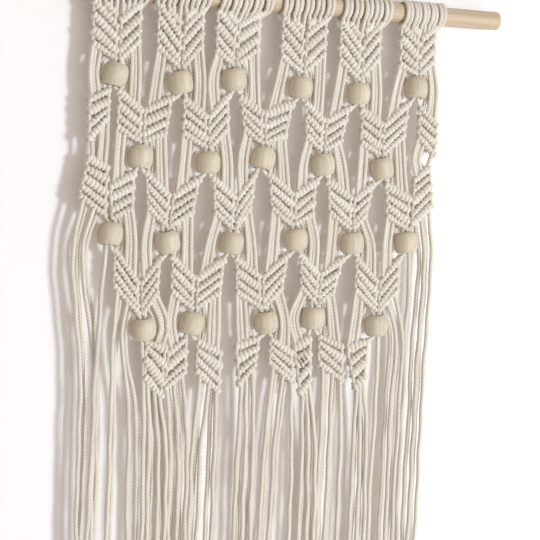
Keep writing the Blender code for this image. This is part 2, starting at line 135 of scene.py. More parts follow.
# The arms with no bead above or below: top and foot of the outer side, then top and tip
# of the inner side.
Corners = namedtuple("Corners", "top_x top_z foot_x foot_z inner_x inner_z tip_x tip_z borders")
LEFT_EDGE = (
    Corners(-134, -72, -134, -99, -149, -80.5, -148, -118, LEFT_TURN),
    Corners(-147.5, -123, -154.5, -158, -133.4, -131, -133.4, -173, FIVE),
)
RIGHT_EDGE = (
    Corners(134, -72, 134, -102.5, 150.5, -85.5, 150, -117, FOUR),
    Corners(145.5, -119, 150.5, -159, 132.3, -131, 132.3, -175, FIVE),
)
LAST_ROW = (
    (Corners(-96, -265, -96, -300, -80, -266, -82, -312,
             Borders((0.0, 0.08, 0.27, 0.6, 1.0), (0.0, 0.24, 0.55, 0.85, 1.0))),
     Corners(-63, -261, -63, -292, -77, -270, -79.5, -305,
             Borders((0.0, 0.23, 0.6, 0.85, 1.0), (0.0, 0.33, 0.66, 0.85, 1.0)))),
    (Corners(-53.5, -262, -53.5, -294, -34, -272, -34, -309,
             Borders((0.0, 0.23, 0.44, 0.7, 1.0), (0.0, 0.27, 0.55, 0.84, 1.0))),
     Corners(-1, -261, -4, -288, -21, -266, -16, -304, FOUR)),
    (Corners(9, -262, 9, -286, 27, -271, 31, -301,
             Borders((0.0, 0.3, 0.52, 0.76, 1.0), (0.0, 0.35, 0.66, 0.87, 1.0))),
     Corners(44, -259, 46, -301, 29.5, -267, 39, -314, FOUR)),
    (Corners(52, -260, 53, -289, 73, -268, 75, -300,
             Borders((0.0, 0.15, 0.38, 0.67, 1.0), (0.0, 0.27, 0.62, 0.88, 1.0))),
     Corners(96.5, -264, 95, -302, 76.5, -267, 88, -309,
             Borders((0.0, 0.12, 0.37, 0.62, 1.0), (0.0, 0.34, 0.55, 0.74, 1.0)))),
)

# ---- rope ----
ROPE = 2.0                 # radius of a strand that hangs free
LOOPED = 1.65              # and of one drawn tight over the rod
WOUND = 2.25               # and of one wound in a bar, where the turns press together
LAY = 8.4                  # length of one twist of its three plies
PLIES = 3
GROOVE = 0.72              # radius in a groove between two plies, as a share of the rope's
STEP = 1.05                # between two rings of a rope's mesh
# GROOVED also scales the shade painted into those grooves
GROOVED = 0.75             # share of the grooves' depth that a free strand shows
FLATTENS = 0.3             # how much thinner a strand gets as it gets broader
CUT_FLARE = 0.15           # how much wider a cut end is
FLARE_LENGTH = 5.0
OFFSETS = 500              # two strands' fibres lie up to so far apart in the noise

# ---- bars: one cord wound round the arm's own cord ----
TURN_LENGTH = 3.4          # of the bar, for each turn
FEWEST_TURNS = 4
BAR_Y = -3.3
BAR_TIGHT = 0.86           # share of a wound cord's radius that counts in a bar's thickness
BAR_THINNEST = 0.45        # least radius of the winding's centre-line in the panel's plane
BAR_IN_DEPTH = 2.2         # and its radius in depth
BAR_END = 0.45             # the winding narrows to this share at a bar's ends
BAR_CLOSES = 1.0           # within so many turns
PAIRING = 0.06             # two turns of one knot lie this share of a turn closer
TURN_LOOSE = 0.05          # how unevenly the turns lie
TURN_FATNESS = (0.94, 1.05)   # how wide the narrowest and the widest turns are
LEVEL_FRONT = 0.6          # how far a turn's advance moves to the back
PER_TURN = 12              # rings of the mesh in a turn
CORE_STEP = 3.0            # between rings of the cords hidden in and behind the bars
# WOUND_GROOVE also scales the shade painted into a wound cord's grooves
WOUND_GROOVE = 0.65        # how much of the grooves shows on a wound cord, which lies fluffed up
SIDE_CORD = 1.5            # radius of the cords that pass from bar to bar
SIDE_OUT = 0.7             # how far they come forward between two bars
CORE_CORDS = (0.1, 0.23, 0.36, 0.5, 0.64, 0.77, 0.9)   # where others lie behind the bars,
CORE_Y = -2.1              # from an arm's outer side to its tip
BAR_LONGER = 0.8           # how far a bar runs past its arm's outer side
BAR_MEETS = 1.5            # and past its inner side, to the V's other arm
TO_BEAD = 2.4              # and how far the first one under a bead runs towards it
BAR_LOOSE = 0.35           # how unevenly the bars' ends lie
BORDER_LOOSE = 0.05        # and the borders between them, as a share of the arm's side

CROWN = 8.0                # height of a short bar in the notch of a V that hangs from the rod
CROWN_TOP = -11.5          # height of its upper end
CROWN_LEAST = 5.0          # its least length

# ---- loose strands beside the beads ----
# leave: where it leaves the arm above, from the arm's outer side (0) to its tip (1).
# nearest: how far from the bead's axis it passes at least. join: where it joins the arm below.
Loose = namedtuple("Loose", "leave nearest join y")
LOOSE = (
    Loose(0.01, 20.0, 0.88, -3.8),
    Loose(0.17, 17.0, 0.70, -2.4),
    Loose(0.36, 14.0, 0.50, -3.2),
    Loose(0.66, 12.6, 0.28, -0.2),
)
LOOSE_SPREAD = 0.5         # how unevenly they pass
TURN_IN = 6.5              # how much nearer they pass at the left edge, where no bead hangs
HANG_LEAVES = (0.16, 0.36, 0.57, 0.78)   # where the fringe leaves an arm's foot
TIP_LEAVE = 0.9                          # and its filler cord
EDGE_LEAVE = 0.86          # the filler cords where an edge arm turns back, above
EDGE_JOIN = 0.16           # and below
INSIDE = 2.8               # how far a strand's end runs into a knot

# ---- filler cords: one for each arm, through the bead below it ----
FILLER_LEAVES = 0.8        # where it leaves the arm above
FILLER_JOINS = 0.12        # and joins the one below
FILLER_DEEPER = 1.0        # how much deeper than other strands its ends run into a knot
FILLER_GAP = 0.15          # between it and the bead's axis

# ---- fringe: four strands from each arm that ends, named from its outer side (a to d) ----
# and its filler cord (tip), as x at HANG_Z. front is how far the filler hangs before them.
# Where the arm ends at a bead, its strands pass this far beside it, times spread.
PASSING = (24.0, 20.3, 16.6, 12.9)
Hang = namedtuple("Hang", "a b c d tip front spread")
HANGS = (
    Hang(-147.0, -143.4, -135.6, -131.6, -139.5, 5, 1.15),
    Hang(-122.4, -118.6, -106.4, -98.2, -94.2, 0, 1.0),
    Hang(-89.5, -85.6, -81.8, -78.2, -75.0, 0, 0),
    Hang(-57.8, -61.4, -65.0, -68.4, -71.8, 0, 0),
    Hang(-54.4, -50.9, -47.4, -38.8, -35.2, 0, 0),
    Hang(-1.8, -5.2, -8.6, -12.0, -15.6, 0, 0),
    Hang(7.0, 10.8, 15.6, 19.6, 32.4, 0, 0),
    Hang(54.4, 51.2, 48.0, 44.6, 41.2, 0, 0),
    Hang(57.8, 61.4, 65.4, 69.0, 76.2, 0, 0),
    Hang(100.8, 97.6, 94.4, 91.2, 87.8, 0, 0),
    Hang(128.2, 124.8, 121.4, 117.8, 105.7, 0, 1.0),
    Hang(150.2, 146.8, 143.4, 140.0, 132.2, 0, 1.0),
)
SETTLED = 0.75             # share of its way sideways that a strand has gone
SETTLED_DROP = 0.45        # at this share of its way down to HANG_Z
WAVE = 0.32                # how far a hanging strand waves
WAVE_LEAST = 0.4           # and the least share of that
WAVE_LENGTHS = (38.0, 67.0, 131.0)
WAVE_FADE = 25.0           # it starts straight and waves in full from this far down
WAVE_SHARES = ((0, 1.0), (1, 0.8))   # along X and along Y

# ---- cords looped over the rod ----
Sleeve = namedtuple("Sleeve", "shift width")
SLEEVES = (Sleeve(1, 45), Sleeve(0, 45), Sleeve(1, 44),
           Sleeve(2, 45), Sleeve(3, 44), Sleeve(4, 38))
LOOP_GAP = 0.15            # between a cord and the rod
LOOP_RADIUS = ROD_RADIUS + LOOP_GAP + LOOPED
CORDS = 5                  # in each arm
LOOP_PAIRING = 0.3         # the two turns of a doubled cord lie closer
LOOP_BROAD = 0.32          # how much broader a cord is on the rod
LOOP_LEAN = 0.9            # how far it leans in half a turn
# How unevenly the turns lie: along the rod, in their lean and in their radius.
LOOP_LOOSE = 0.2
LEAN_LOOSE = 0.5
RADIUS_LOOSE = 0.15
# From low behind the rod, over it, to below it, in degrees.
LOOP_START, LOOP_END, LOOP_STEP = -250, 80, 6.5
NECK = 1.8                 # radius of the cords between the turns and the first bars
NECK_Y = -5.2
NECK_Z = -8.0

# ---- wall, floor and lights, in metres and watts ----
WALL_Y = 0.0125            # just behind the rod
WALL_TOP = 1.6
FLOOR_Z = -1.4
FLOOR_REACH = 4.0          # before and behind the part
SIDE_REACH = 2.2           # of wall and floor, to the left and right
AIM = (0, 0, -0.25)
Light = namedtuple("Light", "name place size power colour")
LIGHTS = (
    Light("key", (1.8, -2.85, -0.1), 0.5, 73, (0.83, 0.94, 1.0)),
    Light("fill", (0.8, -2.8, -0.5), 3.0, 23, (1.0, 0.91, 0.83)),
    Light("back", (0.2, 2.4, 0.6), 1.6, 29, (1.0, 0.90, 0.81)),
)
WORLD_COLOUR = (1.0, 0.88, 0.79)
WORLD_STRENGTH = 0.48

# ---- camera: turned right and down from the wall's normal, with a slight roll ----
CAMERA_YAW = 25.0
CAMERA_PITCH = 4.155
CAMERA_ROLL = 2.638
CAMERA_PLACE = (-0.5604, -1.2184, -0.1125)
FOCAL_PIXELS = 1700.0
IMAGE_SIDE = 540.0
SENSOR = 36.0

# ---- pieces of rope, with the seeds of their unevenness ----
KNOTS = (("knots_upper", (0, 1), 11), ("knots_lower", (2, 3, 4), 12))   # and the rows in them
LOOPS = ("loops", 13)
STRANDS = ("strands", 14)
FRINGE = (("fringe_left", 15), ("fringe_right", 16))

LAST_GROUP = GROUPS - 1
ACROSS = (1, 0, 0)         # along the rod, which is aside from every hanging strand
Bead = namedtuple("Bead", "x z tilt lean")


# ---------------------------------------------------------------- layout, as in the solids

def group_middle(group):
    """Middle of a group of cords along the rod."""
    return COLUMN * (group - LAST_GROUP / 2)


def place_beads():
    """The four rows of beads, each from left to right."""
    rows = []
    for row, shifts in enumerate(BEAD_ROWS):
        first = BEADS_X - COLUMN * (len(shifts) - 1) / 2
        rows.append([Bead(first + COLUMN * i + s.x, ROW_Z[row] + s.z, s.tilt, s.lean)
                     for i, s in enumerate(shifts)])
    return rows


def arm_of(v, side, above, below):
    """Corners of a V's left (side -1) or right arm (1), from the bead above, or from the rod if
    there is none, down to the bead below."""
    outer_x = top_x = v.left if side < 0 else v.right
    hung = HUNG_LEFT if side < 0 else HUNG_RIGHT
    levels, rise, borders = hung[:2], hung[2:], FROM_ROD
    if above:
        top_x = outer_x + TOP_PULL * (above.x - side * TOP_BESIDE - outer_x)
        levels = [above.z - drop for drop in OUTER_DROP]
        rise, borders = INNER_RISE, OVER_BEAD
    foot_x = outer_x + FOOT_OUT * (outer_x - top_x)
    bead_top = below.x + BEAD_HALF * math.sin(math.radians(below.tilt))
    tip = v.middle + TIP_PULL * (bead_top - v.middle)
    return Corners(top_x, levels[0], foot_x, levels[1], v.middle + side * APART, below.z + rise[0],
                   tip + side * APART, below.z + rise[1], borders)


def lay_out(beads):
    """All arms by (row, V, side), side being -1 for the V's left arm and 1 for its right."""
    arms = {}
    for row, (vs, knots) in enumerate(zip(VS, beads)):
        for i, (v, bead) in enumerate(zip(vs, knots)):
            for side in (-1, 1):
                number = i + (side > 0) - (row == WIDENING_ROW + 1)
                if row == 0:
                    arms[row, i, side] = arm_of(v, side, None, bead)
                elif 0 <= number < len(beads[row - 1]):
                    arms[row, i, side] = arm_of(v, side, beads[row - 1][number], bead)
    arms[1, -1, 1], arms[2, 0, -1] = LEFT_EDGE
    arms[1, LAST_GROUP, -1], arms[2, LAST_GROUP, 1] = RIGHT_EDGE
    for i, (left, right) in enumerate(LAST_ROW):
        arms[4, i, -1] = left
        arms[4, i, 1] = right
    return arms


def arm_below(arms, row, index, side):
    """The arm that starts beside a bead and runs down to the given side, if there is one."""
    right_v = index + 1 if row == WIDENING_ROW else index
    return arms.get((row + 1, right_v - (side < 0), -side))


def loose(chance, most):
    """A random number from -most to most."""
    return chance.uniform(-most, most)


def top_of(arm, t):
    """A point on the arm's top edge, t of the way from its outer side to its inner side."""
    return Vector((arm.top_x, 0, arm.top_z)).lerp(Vector((arm.inner_x, 0, arm.inner_z)), t)


def foot_of(arm, t):
    """A point on the arm's bottom edge, from its outer side to its tip."""
    return Vector((arm.foot_x, 0, arm.foot_z)).lerp(Vector((arm.tip_x, 0, arm.tip_z)), t)


def into_top(arm, t, y):
    """The end of a strand that runs into the arm's top edge."""
    return top_of(arm, t) + Vector((0, y, -INSIDE))


def out_of_foot(arm, t, y):
    """The start of a strand that leaves the arm's bottom edge."""
    return foot_of(arm, t) + Vector((0, y, INSIDE))


def bead_turn(bead):
    """The bead's rotation: its hole along Z, tilted in the panel and leaned to the viewer."""
    tilt = Matrix.Rotation(math.radians(bead.tilt), 3, "Y")
    return tilt @ Matrix.Rotation(math.radians(-bead.lean), 3, "X")


def edge_turns(arms):
    """Where the edge arms turn back with no bead: upper arm, lower arm and the open side."""
    return ((arms[1, -1, 1], arms[2, 0, -1], 1),
            (arms[1, LAST_GROUP, -1], arms[2, LAST_GROUP, 1], -1))


# ---------------------------------------------------------------- rope meshes

class Rope:
    """Gathers strands of three-ply rope into one mesh."""

    def __init__(self, name, seed):
        self.name = name
        self.chance = random.Random(seed)
        self.points = []
        self.faces = []
        self.caps = []
        self.lay = []          # where each point lies in the rope, straightened out
        # the next list marks where the cotton material paints shade into the grooves between plies
        self.groove_shade = []       # 1 in a groove and 0 on a ply
        self.tone = []         # one number for each strand
        self.count = 0

    def add(self, line, across, radius=ROPE, flare=0.0, broad=1.0, grooved=GROOVED):
        """A strand along a line of points. across is a direction aside from the line, one for
        all points or one each. flare opens the last end, broad widens the strand across and
        flattens it, and grooved is the share of its grooves' depth and of the shade painted in them."""
        line = np.asarray(line, float)
        step = np.linalg.norm(np.diff(line, axis=0), axis=1)
        along = np.concatenate(([0.0], np.cumsum(step)))
        forward = np.gradient(line, axis=0)
        forward /= np.linalg.norm(forward, axis=1)[:, None]
        side = np.broadcast_to(np.asarray(across, float), line.shape)
        side = side - (side * forward).sum(axis=1)[:, None] * forward
        side /= np.linalg.norm(side, axis=1)[:, None]
        third = np.cross(forward, side)
        corners = np.arange(2 * PLIES)
        sunk = corners % 2
        turn = self.chance.random() * 2 * math.pi - 2 * math.pi * along / LAY
        angle = turn[:, None] + 2 * math.pi * (corners / len(corners))[None, :]
        end = np.clip(1 - (along[-1] - along) / FLARE_LENGTH, 0, 1)
        size = radius * (1 + flare * end ** 2)
        reach = size[:, None] * np.where(sunk, 1 - (1 - GROOVE) * grooved, 1.0)[None, :]
        u = reach * np.cos(angle) * broad
        v = reach * np.sin(angle) / broad ** FLATTENS
        aside = u[..., None] * side[:, None, :]
        rings = line[:, None, :] + aside + v[..., None] * third[:, None, :]
        offset = self.chance.random() * OFFSETS
        straight = np.stack((u, v, np.broadcast_to(along[:, None] + offset, u.shape)), axis=-1)
        # the groove depth also sets how much shade the material paints there
        self.gather(rings, straight, sunk * grooved)

    def gather(self, rings, straight, groove_shade):
        """Keeps a strand's rings of points, its faces and ends and what its material reads."""
        count, corners = rings.shape[:2]
        first = self.count
        last = first + (count - 1) * corners
        number = np.arange(first, last, corners)[:, None]
        here = np.arange(corners)[None, :]
        after = (here + 1) % corners
        self.faces.append(np.stack((number + here, number + after, number + corners + after,
                                    number + corners + here), axis=-1).reshape(-1, 4))
        self.caps.append([first + i for i in reversed(range(corners))])
        self.caps.append([last + i for i in range(corners)])
        self.points.append(rings.reshape(-1, 3))
        self.lay.append(straight.reshape(-1, 3))
        self.groove_shade.append(np.tile(groove_shade, count))
        self.tone.append(np.full(count * corners, self.chance.random()))
        self.count += count * corners

    def finish(self, look):
        """The gathered strands as one object."""
        faces = [face for block in self.faces for face in block.tolist()] + self.caps
        made = object_from(self.name, np.concatenate(self.points), faces, look)
        give(made, "lay", "FLOAT_VECTOR", np.concatenate(self.lay))
        give(made, "groove_shade", "FLOAT", np.concatenate(self.groove_shade))
        give(made, "tone", "FLOAT", np.concatenate(self.tone))
        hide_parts("macrame")
        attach(made, "root")


def give(obj, name, kind, values):
    """Stores a number or a vector for each point of a mesh."""
    attribute = obj.data.attributes.new(name, kind, "POINT")
    attribute.data.foreach_set("vector" if kind == "FLOAT_VECTOR" else "value", values.ravel())


def object_from(name, points, faces, look):
    """A smooth-shaded object from points in millimetres."""
    data = bpy.data.meshes.new(name)
    data.from_pydata((points * MM).tolist(), [], faces)
    data.update()
    data.shade_smooth()
    data.materials.append(look)
    made = bpy.data.objects.new(name, data)
    bpy.context.scene.collection.objects.link(made)
    return made


def smooth_line(points, step=STEP):
    """Points about a step apart along a smooth curve through the given ones."""
    points = np.array([tuple(point) for point in points], float)
    chord = np.linalg.norm(np.diff(points, axis=0), axis=1)
    knot = np.concatenate(([0.0], np.cumsum(chord)))
    slope = np.gradient(points, knot, axis=0) if len(points) > 2 else None
    at = np.linspace(0, knot[-1], max(2, round(knot[-1] / step)) + 1)
    if slope is None:
        return points[0] + (points[1] - points[0]) * (at / knot[-1])[:, None]
    k = np.clip(np.searchsorted(knot, at, side="right") - 1, 0, len(chord) - 1)
    u = ((at - knot[k]) / chord[k])[:, None]
    h = chord[k][:, None]
    return ((2 * u ** 3 - 3 * u ** 2 + 1) * points[k] + (u ** 3 - 2 * u ** 2 + u) * h * slope[k]
            + (3 * u ** 2 - 2 * u ** 3) * points[k + 1] + (u ** 3 - u ** 2) * h * slope[k + 1])


def waved(line, chance):
    """The line with soft waves sideways, none at its start."""
    along = np.concatenate(([0.0], np.cumsum(np.linalg.norm(np.diff(line, axis=0), axis=1))))
    ease = np.clip(along / WAVE_FADE, 0, 1)
    for axis, share in WAVE_SHARES:
        for length in WAVE_LENGTHS:
            phase = chance.uniform(0, 2 * math.pi)
            reach = WAVE * share * chance.uniform(WAVE_LEAST, 1.0) * (length / WAVE_LENGTHS[1]) ** 0.5
            line[:, axis] += reach * ease * np.sin(2 * math.pi * along / length + phase)
    return line


# ---------------------------------------------------------------- cord pieces

def add_bar(rope, ends, thickness, hand, chance):
    """A cord wound round the line between two ends, with its own ends tucked in. The bar is as
    thick at each end as thickness says."""
    start, end = (np.array(point) for point in ends)
    length = np.linalg.norm(end - start)
    turns = max(FEWEST_TURNS, round(length / TURN_LENGTH))
    run = (end - start) / length
    wide = np.array((-run[2], 0.0, run[0]))
    deep = np.array((0.0, 1.0, 0.0))
    places = [0.0]
    for i in range(turns):
        pairing = PAIRING if i % 2 else -PAIRING
        places.append(places[-1] + 1 + pairing + loose(chance, TURN_LOOSE))
    places = np.array(places) / places[-1]
    turn = np.linspace(0, turns, turns * PER_TURN + 1)
    angle = 2 * math.pi * turn
    share = np.interp(turn, np.arange(turns + 1), places)
    half = (thickness[0] + (thickness[1] - thickness[0]) * share) / 2
    in_plane = np.maximum(half - BAR_TIGHT * WOUND, BAR_THINNEST)
    opened = np.clip(np.minimum(turn, turns - turn) / BAR_CLOSES, 0, 1)
    in_plane *= BAR_END + (1 - BAR_END) * opened
    share = share + LEVEL_FRONT / turns * np.sin(angle) / (2 * math.pi)
    fatness = np.array([chance.uniform(*TURN_FATNESS) for i in range(turns + 1)])
    fat = np.interp(turn, np.arange(turns + 1), fatness)
    backward = (BAR_IN_DEPTH * np.cos(angle) * fat)[:, None] * deep
    outward = backward - (hand * in_plane * np.sin(angle) * fat)[:, None] * wide
    to_bar = BAR_Y * deep
    line = start + (end - start) * share[:, None] + outward + to_bar
    rope.add(line, outward + 1e-6 * deep, WOUND, grooved=WOUND_GROOVE)
    rope.add(smooth_line([start + to_bar, end + to_bar], CORE_STEP), deep, SIDE_CORD)


def add_arm(rope, arm, hand, chance):
    """The bars of one arm, the cords behind them and those that pass from bar to bar."""
    sides = []
    for t, shares in enumerate(arm.borders):
        top, foot = top_of(arm, t), foot_of(arm, t)
        inner = [share + loose(chance, BORDER_LOOSE) for share in shares[1:-1]]
        sides.append([top.lerp(foot, share) for share in (shares[0], *inner, shares[-1])])
    for i in range(len(sides[0]) - 1):
        ends = [(side[i] + side[i + 1]) / 2 for side in sides]
        run = (ends[1] - ends[0]).normalized()
        thickness = [(side[i + 1] - side[i]).cross(run).length for side in sides]
        to_bead = TO_BEAD if i == 0 and arm.borders is OVER_BEAD else BAR_LONGER
        for end, way in zip(ends, (-to_bead, BAR_MEETS)):
            end += way * run + Vector((loose(chance, BAR_LOOSE), 0, 0))
        add_bar(rope, ends, thickness, hand, chance)
    for t in CORE_CORDS:
        line = [into_top(arm, t, CORE_Y), out_of_foot(arm, t, CORE_Y)]
        rope.add(smooth_line(line, CORE_STEP), ACROSS, SIDE_CORD)
    for side in sides:
        line = []
        for upper, lower in zip(side, side[1:]):
            line.append((upper + lower) / 2 + Vector((0, BAR_Y, 0)))
            line.append(lower + Vector((0, BAR_Y - SIDE_OUT, 0)))
        rope.add(smooth_line(line[:-1]), ACROSS, SIDE_CORD)


def add_crown(rope, arm, hand, chance):
    """A short bar under the rod, above the inner end of an arm's first bar."""
    end = top_of(arm, 1) + Vector((0, 0, CROWN / 2))
    slope = (top_of(arm, 0) - top_of(arm, 1)).normalized()
    length = (CROWN_TOP - end.z) / slope.z
    if length > CROWN_LEAST:
        thickness = CROWN * abs(slope.x)
        add_bar(rope, (end + length * slope, end), (thickness, thickness), hand, chance)


def make_bars(arms, look):
    """All bars, in two pieces."""
    for name, rows, seed in KNOTS:
        rope = Rope(name, seed)
        for (row, number, side), arm in arms.items():
            if row not in rows:
                continue
            add_arm(rope, arm, side, rope.chance)
            if row == 0:
                add_crown(rope, arm, side, rope.chance)
        rope.finish(look)


def make_loops(arms, look):
    """The turns of each group's cords round the rod, and the cords from under it to the first
    bars."""
    rope = Rope(*LOOPS)
    angles = np.radians(np.arange(LOOP_START, LOOP_END, LOOP_STEP))
    for group, sleeve in enumerate(SLEEVES):
        middle = group_middle(group) + sleeve.shift
        half = sleeve.width / 2 - LOOPED
        count = 2 * CORDS
        for i in range(count):
            side, place = (-1, i) if i < CORDS else (1, count - 1 - i)
            x = middle - half + 2 * half * i / (count - 1)
            pairing = LOOP_PAIRING if i % 2 == 0 else -LOOP_PAIRING
            x += pairing + loose(rope.chance, LOOP_LOOSE)
            bend = loose(rope.chance, LEAN_LOOSE) * np.sin(angles)
            lean = LOOP_LEAN * angles / math.pi + bend
            radius = LOOP_RADIUS + loose(rope.chance, RADIUS_LOOSE)
            ring = np.stack((x - lean, -radius * np.cos(angles), -radius * np.sin(angles)), axis=-1)
            rope.add(ring, ACROSS, LOOPED, broad=1 + LOOP_BROAD)
            end = into_top(arms[0, group, side], (place + 0.5) / CORDS, BAR_Y) - Vector((0, 0, INSIDE))
            rope.add(smooth_line([(ring[-1, 0], NECK_Y, NECK_Z), end]), ACROSS, NECK)
    rope.finish(look)


def make_strands(arms, beads, look):
    """The strands beside the beads and the filler cords through them."""
    rope = Rope(*STRANDS)
    places = [(arms[row, i, side], arm_below(arms, row, i, side), bead.x, bead.z, side)
              for row, knots in enumerate(beads) for i, bead in enumerate(knots) for side in (-1, 1)]
    places += [(upper, lower, upper.tip_x - TURN_IN * (side > 0), upper.tip_z, side)
               for upper, lower, side in edge_turns(arms)]
    for upper, lower, x, z, side in places:
        if lower:
            for strand in LOOSE:
                start = out_of_foot(upper, strand.leave, strand.y)
                end = into_top(lower, strand.join, strand.y)
                passing = start.lerp(end, (start.z - z) / (start.z - end.z))
                aside = max(side * (passing.x - x), strand.nearest)
                passing.x = x + side * (aside + loose(rope.chance, LOOSE_SPREAD))
                rope.add(smooth_line([start, passing, end]), ACROSS)
    for upper, lower, side in edge_turns(arms):
        line = [out_of_foot(upper, EDGE_LEAVE, FRONT_Y), into_top(lower, EDGE_JOIN, FRONT_Y)]
        rope.add(smooth_line(line), ACROSS)
    for row, knots in enumerate(beads):
        for i, bead in enumerate(knots):
            for side in (-1, 1):
                lower = arm_below(arms, row, i, side)
                if lower:
                    end = into_top(lower, FILLER_JOINS, BAR_Y) - Vector((0, 0, FILLER_DEEPER))
                    line = through_bead(arms[row, i, side], bead, side) + [end]
                    rope.add(smooth_line(line), ACROSS)
    rope.finish(look)


def through_bead(arm, bead, side):
    """The start of a filler cord, from its arm above into the bead and out of it."""
    centre = Vector((bead.x, BEAD_Y, bead.z))
    turn = bead_turn(bead)
    aside = side * (ROPE + FILLER_GAP)
    start = out_of_foot(arm, FILLER_LEAVES, BAR_Y) + Vector((0, 0, FILLER_DEEPER))
    return [start] + [centre + turn @ Vector((aside, 0, z)) for z in (BEAD_HALF, -BEAD_HALF)]


def make_fringe(arms, beads, look):
    """The sixty strands that hang free, five from each arm that ends, in two pieces."""
    chance = random.Random(SEED)
    waves = random.Random(SEED + 1)
    ends = [(2, 0, -1), (3, 0, -1)]
    for i in range(len(LAST_ROW)):
        ends += [(4, i, -1), (4, i, 1)]
    ends += [(3, LAST_GROUP - 1, 1), (2, LAST_GROUP, 1)]
    halves = [Rope(*half) for half in FRINGE]
    for order, ((row, i, side), hang) in enumerate(zip(ends, HANGS)):
        rope = halves[order >= len(ends) // 2]
        arm = arms[row, i, side]
        bead = beads[row][i] if row < len(beads) else None
        for number, (t, x, aside) in enumerate(zip(HANG_LEAVES, hang, PASSING)):
            y = REAR_Y if number % 2 else FRONT_Y
            start = [out_of_foot(arm, t, y)]
            if bead:
                start.append(Vector((bead.x + side * hang.spread * aside, y, bead.z)))
            line = waved(smooth_line(hanging(start, x, y, chance)), waves)
            rope.add(line, ACROSS, flare=CUT_FLARE)
        start = through_bead(arm, bead, side) if bead else [out_of_foot(arm, TIP_LEAVE, FRONT_Y)]
        line = waved(smooth_line(hanging(start, hang.tip, FRONT_Y - hang.front, chance)), waves)
        rope.add(line, ACROSS, flare=CUT_FLARE)
    for rope in halves:
        rope.finish(look)


def hanging(start, x, y, chance):
    """A route on from its first points, down by way of (x, y) at HANG_Z to the hem."""
    last = start[-1]
    knee = Vector((last.x + SETTLED * (x - last.x), y, last.z + SETTLED_DROP * (HANG_Z - last.z)))
    hem = HEM_Z + loose(chance, HEM_UNEVEN)
    return start + [knee, Vector((x, y, HANG_Z)), Vector((x, y, hem))]


# ---------------------------------------------------------------- wood

def lathe(profile, sides, axis, closed):
    """Points and faces of a profile of (along, radius) turned about the X or Z axis. closed
    joins its last point to its first."""
    profile = np.array(profile)
    angle = 2 * math.pi * np.arange(sides) / sides
    u = profile[None, :, 1] * np.cos(angle)[:, None]
    v = profile[None, :, 1] * np.sin(angle)[:, None]
    along = np.broadcast_to(profile[None, :, 0], u.shape)
    order = (along, u, v) if axis == "X" else (u, v, along)
    points = np.stack(order, axis=-1).reshape(-1, 3)
    length = len(profile)
    faces = []
    for i in range(sides):
        j = (i + 1) % sides
        for k in range(length if closed else length - 1):
            m = (k + 1) % length
            faces.append((i * length + k, j * length + k, j * length + m, i * length + m))
    return points, faces


def make_beads(beads, look):
    """Barrel beads with rounded shoulders, each placed and tilted."""
    chance = random.Random(BEAD_SEED)
    mouth = [(BEAD_HALF - depth, BEAD_HOLE + away) for depth, away in MOUTH]
    profile = [(-z, radius) for z, radius in mouth]
    for z in BEAD_HALF * np.sin(np.linspace(-math.pi / 2, math.pi / 2, BARREL_RINGS)):
        narrowing = 1 - (abs(z) / BARREL_HALF) ** BARREL_ROUNDNESS
        profile.append((z, BEAD_RADIUS * narrowing ** (1 / BARREL_ROUNDNESS)))
    profile += reversed(mouth)
    points, faces = lathe(profile, BEAD_SIDES, "Z", True)
    faces = [face[::-1] for face in faces]
    for row, knots in enumerate(beads, 1):
        for number, bead in enumerate(knots, 1):
            turn = np.array(bead_turn(bead))
            spin = np.array(Matrix.Rotation(chance.uniform(0, 2 * math.pi), 3, "Z"))
            placed = points @ (turn @ spin).T + np.array((bead.x, BEAD_Y, bead.z))
            made = object_from(f"turned_bead_{row}_{number}", placed, faces, look)
            give(made, "grain", "FLOAT_VECTOR", points + chance.uniform(0, GRAIN_OFFSETS))
            give(made, "tone", "FLOAT", np.full(len(points), chance.random()))
            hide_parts(f"bead_{row}_{number}")
            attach(made, "root")


def make_rod(look):
    """A round dowel with worn edges at its ends."""
    half = ROD_LENGTH / 2
    end = [(half - along, ROD_RADIUS - depth) for along, depth in ROD_END]
    plain = half - ROD_PLAIN
    profile = [(-x, radius) for x, radius in end]
    profile += [(x, ROD_RADIUS) for x in np.linspace(-plain, plain, ROD_RINGS)]
    profile += reversed(end)
    points, faces = lathe(profile, ROD_SIDES, "X", False)
    made = object_from("dowel", points, faces, look)
    give(made, "grain", "FLOAT_VECTOR", points)
    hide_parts("rod")
    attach(made, "root")


# ---------------------------------------------------------------- materials

WHITE = (1.0, 1.0, 1.0)
DARKEST_TONE = (0.93, 0.91, 0.88)   # of one strand or bead beside another


